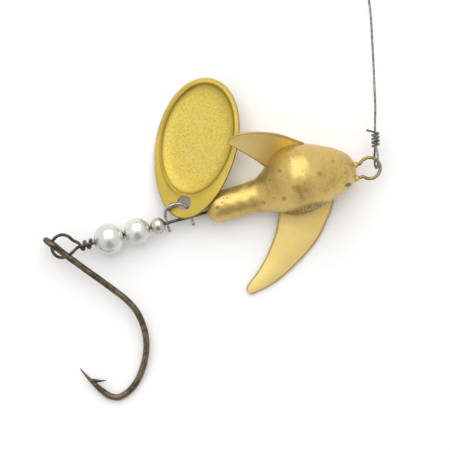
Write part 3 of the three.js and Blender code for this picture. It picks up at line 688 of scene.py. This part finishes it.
def blade_skin(settings):
    """Rings from the dish's centre out to the rim, over the cut edge and back underneath.
    Dish floor: z = -depth (1 - rho ** 9), with a raised lip at its border."""
    length, width = settings.blade_length / MM, settings.blade_width / MM
    depth, rim, gauge = settings.dish_depth / MM, settings.blade_rim / MM, BLADE_GAUGE
    a = (np.arange(240) + 0.5) / 240 * 2 * np.pi
    dish = blade_oval(DISH_START, length - DISH_START - rim, width - 2 * rim, a, 0.02)
    outline = blade_oval(0, length, width, a, 0.1)
    centre = np.array([DISH_START + (length - DISH_START - rim) / 2, 0])
    rows, marks = [], []
    rho = np.sqrt(np.linspace(0.0004, 1, 56))
    lip_at = lambda d: 0.1 * np.exp(-((d - 0.3) / 0.25) ** 2)
    for k in rho:
        flat = centre + (dish - centre) * k
        inward = (1 - k) * 7.0
        z = -depth * (1 - k ** 9) + lip_at(-inward)
        rows.append(np.column_stack([flat, np.full(len(a), z)]))
        # the second mark places painted shade along the dish's border crease
        marks.append((0, float(math.exp(-((inward - 0.1) / 0.22) ** 2)), float(ease(inward / 1.2))))
    for t in np.linspace(0, 1, 18)[1:]:
        flat = dish + (outline - dish) * t
        d = t * np.linalg.norm(outline - dish, axis=1)
        rows.append(np.column_stack([flat, lip_at(d) * (1 - t)]))
        # the first mark places painted shade at the cut edge, the second painted shade at the dish's
        # border
        marks.append((1.0 if t > 0.985 else 0, float(math.exp(-(t / 0.3) ** 2)) * 0.6, 0))
    grow = outline - centre
    grow /= np.linalg.norm(grow, axis=1)[:, None]
    for t in np.linspace(0, math.pi, 9)[1:-1]:
        flat = outline + grow * 0.06 * math.sin(t)
        rows.append(np.column_stack([flat, np.full(len(a), -gauge * (1 - math.cos(t)) / 2)]))
        marks.append((1.0, 0, 0))
    for t in np.linspace(1, 0, 12):
        flat = dish + (outline - dish) * t
        rows.append(np.column_stack([flat, np.full(len(a), -gauge)]))
        marks.append((0, 0, 0))
    for k in rho[::-1][1:]:
        flat = centre + (dish - centre) * k
        rows.append(np.column_stack([flat, np.full(len(a), -gauge - depth * (1 - k ** 9))]))
        marks.append((0, 0, float(ease((1 - k) * 6))))
    rows = np.array(rows)
    rows[..., 2] += gauge / 2
    values = np.repeat(np.array(marks, float), len(a), axis=0)
    values = np.vstack([values, [0, 0, 1], [0, 0, 1]])
    return loft(rows), values


def turn_blade(points, settings, hole):
    """Heading, pitch and roll about the hole, from the blade's own flat frame."""
    heading = math.radians(settings.blade_heading)
    pitch = math.radians(settings.blade_pitch)
    roll = math.radians(-settings.blade_roll)
    rx = np.array([[1, 0, 0], [0, math.cos(roll), -math.sin(roll)],
                   [0, math.sin(roll), math.cos(roll)]])
    ry = np.array([[math.cos(pitch), 0, math.sin(pitch)], [0, 1, 0],
                   [-math.sin(pitch), 0, math.cos(pitch)]])
    rz = np.array([[math.cos(heading), -math.sin(heading), 0],
                   [math.sin(heading), math.cos(heading), 0], [0, 0, 1]])
    return (points - np.array([HOLE_IN, 0, 0])) @ (rz @ ry @ rx).T + np.array(hole)


# ---- hook ----
HOOK_LINE = [
    (1.8, 0.05), (4, 0.15), (10, 0.22), (14, 0.22), (17.5, 0.27), (20.5, 0.42), (23.8, 1.15),
    (26.6, 2.65), (29.2, 4.85), (31.1, 7.5), (32.35, 10.25), (33.1, 12.95), (33.3, 15.5),
    (32.9, 17.75), (31.95, 19.5), (30.3, 20.35), (28, 20.4), (25.5, 20.1), (23.2, 19.7),
    (21, 19.1),
]
HOOK_EYE = (-35.12, 1.94, 4.88)
HOOK_HEADING = math.radians(-50.8)
HOOK_WAY = (math.cos(HOOK_HEADING), math.sin(HOOK_HEADING))
HOOK_DROP = (0.098, 0.055)        # fall per mm along the shank and per mm sideways
HOOK_EYE_RADIUS = 1.8
HOOK_TAPER = 8.0                  # length over which the wire narrows to the point


def hook_point(along, side):
    """Distance down the shank and sideways toward the point, to plan coordinates."""
    du, dv = HOOK_WAY
    along, side = np.asarray(along, float), np.asarray(side, float)
    return np.stack([HOOK_EYE[0] + du * along + dv * side, HOOK_EYE[1] + dv * along - du * side,
                     HOOK_EYE[2] - HOOK_DROP[0] * along - HOOK_DROP[1] * side], axis=-1)


def hook_parts(settings):
    """Shank and bend as a tapering wire, a ring eye, and a sliver of barb."""
    half = settings.hook_wire / MM / 2
    line = even(catmull(HOOK_LINE, 12), 0.22)
    path = hook_point(line[:, 0], line[:, 1])
    left = np.arange(len(path))[::-1] * 0.22
    radii = half * np.where(left < HOOK_TAPER, 0.05 + 0.95 * (left / HOOK_TAPER) ** 0.75, 1.0)
    du, dv = HOOK_WAY
    b = np.linspace(0, 2 * math.pi, 24, endpoint=False)
    out = HOOK_EYE_RADIUS + half * np.cos(b)
    rows = [np.stack([HOOK_EYE[0] + out * math.cos(t) * du - half * np.sin(b) * dv,
                      HOOK_EYE[1] + out * math.cos(t) * dv + half * np.sin(b) * du,
                      HOOK_EYE[2] + out * math.sin(t)], axis=1)
            for t in np.linspace(0, 2 * math.pi, 72, endpoint=False)]
    barb = even(hook_point([25.0, 26.3, 27.5], [19.9, 19.0, 18.0]), 0.15)
    return [wire(path, radii, 28), loft(rows, ring=True),
            wire(barb, np.linspace(0.56, 0.07, len(barb)), 14)]


# ---- leader ----
FITTING_START = (39.28, -1.6)
FITTING_WAY = (0.225, 0.974)
FITTING_LENGTH = 10.75
FITTING_TURNS = 4
COIL_CENTRE = (50.2, 43.6)
COIL_TOP = 2.44
COIL_DROP = 0.51


def leader_point(t, side, lift):
    """Distance along the end fitting, sideways and up, to plan coordinates."""
    du, dv = FITTING_WAY
    return (FITTING_START[0] + du * t + dv * side, FITTING_START[1] + dv * t - du * side,
            HEAD_HEIGHT + lift)


def far_point(t, side, lift):
    """The same for the loop on the far end, which lies flat beyond the stored coil."""
    return (COIL_CENTRE[0] + 1.6 + FITTING_LENGTH - t, COIL_CENTRE[1] + 2.6 + lift, 0.99 + side)


def wrapped_loop(settings, at):
    """Tag end, helix of four turns round the standing wire, open loop, standing wire."""
    radius = settings.leader_wire / MM * 1.5
    steps = FITTING_TURNS * 12
    k = np.arange(0, steps + 1)
    a = math.pi / 2 + (1 - k / steps) * FITTING_TURNS * 2 * math.pi
    helix = [at(9.3 - n / steps * 3.2, radius * math.cos(t), radius * math.sin(t))
             for n, t in zip(k, a)]
    bow = [at(t, 0.2 * h, 0.98 * h) for t, h in (
        (5.0, 1.15), (4.0, 1.4), (2.9, 1.4), (1.75, 0.95), (1.3, 0), (1.75, -0.95),
        (2.9, -1.35), (4.2, -1.3), (5.4, -0.75), (6.4, -0.1), (7.2, 0), (9.0, 0), (10.75, 0))]
    return even(catmull([at(9.9, -1.9, 1.1), at(9.6, -0.9, 1.0), *helix, *bow], 8), 0.08)


def leader_route(settings):
    """The free wire: on from the wraps, then down and round the stored coil."""
    radius = settings.coil_radius / MM
    cx, cy = COIL_CENTRE
    run = [
        leader_point(10.9, 0, 0), (42.9, 13.0, 4.2), (43.95, 17.6, 4.0), (45.0, 22.2, 3.7),
        (46.0, 26.8, 3.4), (47.0, 31.4, 3.0), (47.7, 35.2, 2.75), (47.95, 38.2, 2.6),
        (47.8, 40.6, 2.5),
    ]
    coil = []
    for k in range(3, int(settings.coil_turns * 24) + 1):
        a = math.pi - k / 24 * 2 * math.pi
        coil.append((cx + radius * math.cos(a), cy + radius * math.sin(a), COIL_TOP - k / 24 * COIL_DROP))
    end = [(cx + 0.8, cy + radius + 0.02, 0.5), (cx + 1.5, cy + radius, 0.99)]
    return even(catmull([*run, *coil, *end], 6), 0.25)


# ---- the add-on ----
def length(label, note, default_mm):
    """A length property, written here in millimetres and kept in metres."""
    return bpy.props.FloatProperty(name=label, description=note, default=default_mm * MM,
                                   precision=5, unit="LENGTH")


class SpinnerSettings(bpy.types.PropertyGroup):
    """Sizes of the body, wings and wires."""

    tail_radius: length("Tail radius", "Radius of the tail stem", 3.5)
    bulb_radius: length("Bulb radius", "Largest radius of the cast body", 7.9)
    back_lift: length("Back lift", "Rise of the bulb's centre over the shaft", 4.35)
    back_side: length("Back side", "Sideways lean of the bulb's centre", 1.75)
    wing_thickness: length("Wing thickness", "Gauge of the wing sheet", 0.55)
    ring_radius: length("Head ring radius", "Radius of the head loop's wire line", 2.37)
    head_wire: length("Head wire", "Diameter of the head loop's wire", 0.75)
    shaft_wire: length("Shaft wire", "Diameter of the shaft wire", 0.72)
    leader_wire: length("Leader wire", "Diameter of the leader wire", 0.5)
    coil_radius: length("Coil radius", "Radius of the stored coil at its middle", 2.6)
    coil_turns: bpy.props.FloatProperty(name="Coil turns", description="Turns in the coil",
                                        default=4.25)


class TackleSettings(bpy.types.PropertyGroup):
    """Sizes of the beads, clevis, blade and hook."""

    large_pearl: length("Large pearl", "Diameter of the large pearl", 7.0)
    small_pearl: length("Small pearl", "Diameter of the small pearl", 6.0)
    spacer_bead: length("Spacer bead", "Diameter of the metal bead", 3.6)
    bead_bore: length("Bead bore", "Bore of the beads", 1.3)
    bead_gap: length("Bead gap", "Play between neighbours on the shaft", 0.2)
    clevis_reach: length("Clevis reach", "Shaft line to the top of the bow", 4.05)
    clevis_swing: bpy.props.FloatProperty(name="Clevis swing", default=26.0,
                                          description="Degrees above level")
    blade_length: length("Blade length", "Length of the blade", 32.3)
    blade_width: length("Blade width", "Width of the blade", 19.1)
    dish_depth: length("Dish depth", "Depth of the blade's dish", 0.85)
    blade_rim: length("Blade rim", "Width of the flat rim", 1.1)
    blade_heading: bpy.props.FloatProperty(name="Blade heading", default=63.3,
                                           description="Degrees from the shaft, seen from above")
    blade_pitch: bpy.props.FloatProperty(name="Blade pitch", default=5.0,
                                         description="Degrees that the far end drops")
    blade_roll: bpy.props.FloatProperty(name="Blade roll", default=19.0,
                                        description="Degrees that the outer side drops")
    hook_wire: length("Hook wire", "Diameter of the hook's wire", 1.45)


WRAP_END = -26.225                # where the rear wraps end and the beads begin
CLEVIS_HALF_GAUGE = 0.3
HOLE_FROM_CLEVIS = (4.9, 3.35, 4.87)


def bead_places(settings):
    """Centres of the three beads and the clevis's first leg along the shaft."""
    gap = settings.bead_gap / MM
    half = lambda d: math.sqrt((d / MM / 2) ** 2 - (settings.bead_bore / MM / 2) ** 2)
    large = WRAP_END + gap + half(settings.large_pearl)
    small = large + half(settings.large_pearl) + gap + half(settings.small_pearl)
    spacer = small + half(settings.small_pearl) + gap + half(settings.spacer_bead)
    clevis = spacer + half(settings.spacer_bead) + gap + CLEVIS_HALF_GAUGE
    return large, small, spacer, clevis


class SPINNER_OT_camera(bpy.types.Operator):
    """Camera looking straight down at the lure as it lies"""

    bl_idname = "spinner.camera"
    bl_label = "Camera"

    def execute(self, context):
        data = bpy.data.cameras.new("camera")
        data.lens = 195.0
        data.sensor_width = 36.0
        data.clip_end = 5.0
        camera = bpy.data.objects.new("camera", data)
        context.scene.collection.objects.link(camera)
        camera.location = place([3.4, -3.8, 552.0])
        camera.rotation_euler = (0, 0, math.radians(-15.07))
        context.scene.camera = camera
        return {"FINISHED"}


class SPINNER_OT_leader(bpy.types.Operator):
    """Leader wire, its two wrapped end loops and the tie on its stored coil"""

    bl_idname = "spinner.leader"
    bl_label = "Leader"

    def execute(self, context):
        s = context.scene.spinner
        steel = worn_metal("leader_steel", (0.27, 0.27, 0.25), (0.12, 0.12, 0.105), 0.3, 1500)
        path = place(leader_route(s))
        curve = bpy.data.curves.new("leader", "CURVE")
        curve.dimensions = "3D"
        curve.bevel_depth = s.leader_wire / 2
        curve.bevel_resolution = 4
        curve.use_fill_caps = True
        spline = curve.splines.new("POLY")
        spline.points.add(len(path) - 1)
        spline.points.foreach_set("co", np.column_stack([path, np.ones(len(path))]).ravel())
        curve.materials.append(steel)
        leader = bpy.data.objects.new("leader", curve)
        context.scene.collection.objects.link(leader)
        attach(leader, "leader")
        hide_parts("leader_wire", "leader_coil")
        gauge = s.leader_wire / MM / 2
        near = make("leader_end_loop", [wire(wrapped_loop(s, leader_point), gauge, 18)], steel,
                    "leader", ["leader_end_loop"])
        far = make("leader_far_loop", [wire(wrapped_loop(s, far_point), gauge, 18)], steel,
                   "leader", [])
        a = np.arange(0, 40) / 12 * 2 * np.pi
        tie_line = np.stack([COIL_CENTRE[0] + 2.6 + 0.62 * np.cos(a), COIL_CENTRE[1] - 0.6 + a / 16,
                             1.42 + 1.22 * np.sin(a)], axis=1)
        tie = make("coil_tie", [wire(even(catmull(tie_line, 4), 0.08), 0.11, 12)], steel,
                   "leader", [])
        return {"FINISHED"}


class SPINNER_OT_casting(bpy.types.Operator):
    """Cast body with its dents and the two nubs at the head loop's legs"""

    bl_idname = "spinner.casting"
    bl_label = "Cast body"

    def execute(self, context):
        s = context.scene.spinner
        grid, marks = body_skin(s)
        nubs = [ellipsoid((35.0, 1.62, 4.35), (1.0, 0.78, 0.8)),
                ellipsoid((34.5, -1.36, 4.35), (1.0, 0.72, 0.75))]
        extra = sum(len(v) for v, _ in nubs) + 2
        marks = {name: np.concatenate([mark.ravel(), np.zeros(extra)])
                 for name, mark in marks.items()}
        piece = make("body_casting", [loft(grid), *nubs], gold_paint(), "lure_body",
                     ["body_casting"], marks)
        return {"FINISHED"}


class SPINNER_OT_wings(bpy.types.Operator):
    """Two swept sheet wings"""

    bl_idname = "spinner.wings"
    bl_label = "Wings"

    def execute(self, context):
        s = context.scene.spinner
        brass = wing_brass()
        gauge = s.wing_thickness / MM
        for name, trailing, leading, side, angle, camber in (
            ("lower_wing", LOWER_TRAILING, LOWER_LEADING, -1, -2.3, 0.25),
            ("upper_wing", UPPER_TRAILING, UPPER_LEADING, 1, 45, 0.3),
        ):
            skin, edge = wing_skin(trailing, leading, gauge, side, angle, camber)
            piece = make(name, [skin], brass, "lure_body", [name], {"edge": edge}, sharp=50)
        return {"FINISHED"}


class SPINNER_OT_wires(bpy.types.Operator):
    """Head loop and shaft wire"""

    bl_idname = "spinner.wires"
    bl_label = "Body wires"

    def execute(self, context):
        s = context.scene.spinner
        head = make("head_loop", [wire(head_path(s), s.head_wire / MM / 2, 24)], gold_wire(),
                    "lure_body", ["head_loop"])
        dark = worn_metal("dark_wire", (0.15, 0.135, 0.115), (0.055, 0.048, 0.04), 0.3)
        shaft = make("shaft_wire", [wire(shaft_path(s), s.shaft_wire / MM / 2, 22)], dark,
                     "lure_body", ["shaft_wire"])
        return {"FINISHED"}


class SPINNER_OT_beads(bpy.types.Operator):
    """Two pearl beads and the metal bead"""

    bl_idname = "spinner.beads"
    bl_label = "Beads"

    def execute(self, context):
        t = context.scene.tackle
        large, small, spacer, _ = bead_places(t)
        pearl = pearl_coat()
        nickel = worn_metal("tarnished_nickel", (0.58, 0.54, 0.47), (0.30, 0.25, 0.19), 0.12, 300)
        for name, size, at, look, slot in (
            ("large_pearl", t.large_pearl, large, pearl, "pearl_coat"),
            ("small_pearl", t.small_pearl, small, pearl, "pearl_coat"),
            ("spacer_bead", t.spacer_bead, spacer, nickel, "tarnished_nickel"),
        ):
            profile, bore = bead_profile(size / MM, t.bead_bore / MM)
            piece = make(name, [lathe(profile, at)], look, name, [name],
                         {"bore": np.tile(bore, BEAD_SIDES)})
        return {"FINISHED"}


class SPINNER_OT_clevis(bpy.types.Operator):
    """Clevis that carries the blade"""

    bl_idname = "spinner.clevis"
    bl_label = "Clevis"

    def execute(self, context):
        t = context.scene.tackle
        look = worn_metal("nickel_band", (0.50, 0.47, 0.42), (0.27, 0.235, 0.195), 0.24, 1300)
        piece = make("clevis", [clevis_skin(t, bead_places(t)[3])], look, "clevis", ["clevis"])
        return {"FINISHED"}


def cut_hole(piece, centre, basis, radius):
    """Cuts a round hole through a piece and keeps the plain result."""
    a = np.arange(64) / 64 * 2 * np.pi
    verts, faces = loft([np.stack([radius * np.cos(a), radius * np.sin(a), 0 * a + end], axis=1)
                         for end in (-2.0, 2.0)])
    verts = verts @ basis.T + centre
    if volume_of(verts, faces) < 0:
        faces = [face[::-1] for face in faces]
    mesh = bpy.data.meshes.new("cutter")
    mesh.from_pydata(place(verts).tolist(), [], faces)
    cutter = bpy.data.objects.new("cutter", mesh)
    bpy.context.scene.collection.objects.link(cutter)
    tool = piece.modifiers.new("hole", "BOOLEAN")
    tool.operation = "DIFFERENCE"
    tool.solver = "EXACT"
    tool.object = cutter
    bpy.context.view_layer.update()
    made = bpy.data.meshes.new_from_object(
        piece.evaluated_get(bpy.context.evaluated_depsgraph_get()))
    piece.modifiers.clear()
    piece.data = made
    bpy.data.objects.remove(cutter)


class SPINNER_OT_blade(bpy.types.Operator):
    """Dished blade with its hole"""

    bl_idname = "spinner.blade"
    bl_label = "Blade"

    def execute(self, context):
        t = context.scene.tackle
        forward, across, up = HOLE_FROM_CLEVIS
        hole = (bead_places(t)[3] + forward, across, up)
        (verts, faces), marks = blade_skin(t)
        values = {"edge": marks[:, 0], "lip_shade": marks[:, 1], "dish": marks[:, 2]}
        piece = make("blade", [(turn_blade(verts, t, hole), faces)], blade_brass(), "blade",
                     ["blade"], values)
        basis = turn_blade(np.eye(3) + np.array([HOLE_IN, 0, 0]), t, (0, 0, 0)).T
        cut_hole(piece, np.array(hole), basis, 1.68)
        piece.data.set_sharp_from_angle(angle=math.radians(42))
        return {"FINISHED"}


class SPINNER_OT_hook(bpy.types.Operator):
    """Hook with ring eye and barb"""

    bl_idname = "spinner.hook"
    bl_label = "Hook"

    def execute(self, context):
        piece = make("hook", hook_parts(context.scene.tackle), bronzed(), "hook", ["hook"])
        return {"FINISHED"}


def area_light(name, at, size, power):
    """Square soft light at a plan place, aimed at the middle of the lure."""
    data = bpy.data.lights.new(name, "AREA")
    data.shape = "SQUARE"
    data.size = size
    data.energy = power
    lamp = bpy.data.objects.new(name, data)
    bpy.context.scene.collection.objects.link(lamp)
    spot = place(at)
    lamp.location = spot
    aim = place([2, 0, 4]) - spot
    lamp.rotation_euler = (
        math.acos(-aim[2] / np.linalg.norm(aim)), 0, math.atan2(aim[1], aim[0]) - math.pi / 2)
    return lamp


def room():
    """White room: radiance falls from a wide soft ceiling light to the horizon, less two dim
    patches on the near side: horizon + ceiling * step(D.k) - sum of patch * step(D.p)."""
    world = bpy.data.worlds.new("room")
    world.use_nodes = True
    tree = world.node_tree
    way = tree.nodes.new("ShaderNodeTexCoord").outputs["Generated"]

    def lobe(direction, low, high, top):
        """Smooth step of the angle from one direction."""
        dot = tree.nodes.new("ShaderNodeVectorMath")
        dot.operation = "DOT_PRODUCT"
        tree.links.new(way, dot.inputs[0])
        dot.inputs[1].default_value = direction
        soft = tree.nodes.new("ShaderNodeMapRange")
        soft.interpolation_type = "SMOOTHSTEP"
        tree.links.new(dot.outputs["Value"], soft.inputs["Value"])
        for key, value in (("From Min", low), ("From Max", high), ("To Max", top)):
            soft.inputs[key].default_value = value
        return soft.outputs[0]

    def both(operation, first, second):
        """Math on two sockets or a socket and a number."""
        node = tree.nodes.new("ShaderNodeMath")
        node.operation = operation
        tree.links.new(first, node.inputs[0])
        if isinstance(second, float):
            node.inputs[1].default_value = second
        else:
            tree.links.new(second, node.inputs[1])
        return node.outputs[0]

    ceiling = both("ADD", lobe((-0.05, 0.38, 0.92), 0.2, 0.95, 0.2), 0.82)
    dim = both("SUBTRACT", ceiling, lobe((-0.1, -0.37, 0.923), 0.93, 0.985, 0.5))
    dim = both("SUBTRACT", dim, lobe((-0.1, -0.8, 0.59), 0.8, 0.98, 0.5))
    sky = tree.nodes["Background"]
    sky.inputs["Color"].default_value = (1.0, 0.99, 0.98, 1)
    tree.links.new(dim, sky.inputs["Strength"])
    return world


class SPINNER_OT_stage(bpy.types.Operator):
    """Pale floor, soft lights and a white room"""

    bl_idname = "spinner.stage"
    bl_label = "Stage"

    def execute(self, context):
        n = 3.0
        mesh = bpy.data.meshes.new("floor")
        mesh.from_pydata([(-n, -n, 0), (n, -n, 0), (n, n, 0), (-n, n, 0)], [], [(0, 1, 2, 3)])
        g = Graph("floor_paper")
        cloud = g.noise(3.0, 2, 0.5)
        colour = g.mix(cloud, (0.93, 0.925, 0.92), (0.94, 0.935, 0.93))
        mesh.materials.append(g.surface(colour, 0.9, 0.0))
        floor = bpy.data.objects.new("floor", mesh)
        context.scene.collection.objects.link(floor)
        area_light("key", [60, 420, 600], 0.9, 3.2)
        context.scene.world = room()
        context.scene.view_settings.view_transform = "Standard"
        return {"FINISHED"}


class SPINNER_PT_panel(bpy.types.Panel):
    """Sidebar panel with the sizes and a button per piece"""

    bl_idname = "SPINNER_PT_panel"
    bl_label = "Inline spinner"
    bl_space_type = "VIEW_3D"
    bl_region_type = "UI"
    bl_category = "Spinner"

    def draw(self, context):
        for group in (context.scene.spinner, context.scene.tackle):
            for name in group.__annotations__:
                self.layout.prop(group, name)
        for step in STEPS:
            self.layout.operator(step.bl_idname)


STEPS = (
    SPINNER_OT_camera, SPINNER_OT_leader, SPINNER_OT_casting, SPINNER_OT_wings,
    SPINNER_OT_wires, SPINNER_OT_beads, SPINNER_OT_clevis, SPINNER_OT_blade, SPINNER_OT_hook,
    SPINNER_OT_stage,
)
CLASSES = (SpinnerSettings, TackleSettings, *STEPS, SPINNER_PT_panel)


def register():
    """Adds the classes and the settings to Blender."""
    for item in CLASSES:
        bpy.utils.register_class(item)
    bpy.types.Scene.spinner = bpy.props.PointerProperty(type=SpinnerSettings)
    bpy.types.Scene.tackle = bpy.props.PointerProperty(type=TackleSettings)


def unregister():
    """Removes them again."""
    del bpy.types.Scene.tackle
    del bpy.types.Scene.spinner
    for item in reversed(CLASSES):
        bpy.utils.unregister_class(item)


def main():
    """Builds every piece in order."""
    register()
    bpy.ops.spinner.camera()
    bpy.ops.spinner.leader()
    bpy.ops.spinner.casting()
    bpy.ops.spinner.wings()
    bpy.ops.spinner.wires()
    bpy.ops.spinner.beads()
    bpy.ops.spinner.clevis()
    bpy.ops.spinner.blade()
    bpy.ops.spinner.hook()
    bpy.ops.spinner.stage()


if __name__ == "__main__":
    main()
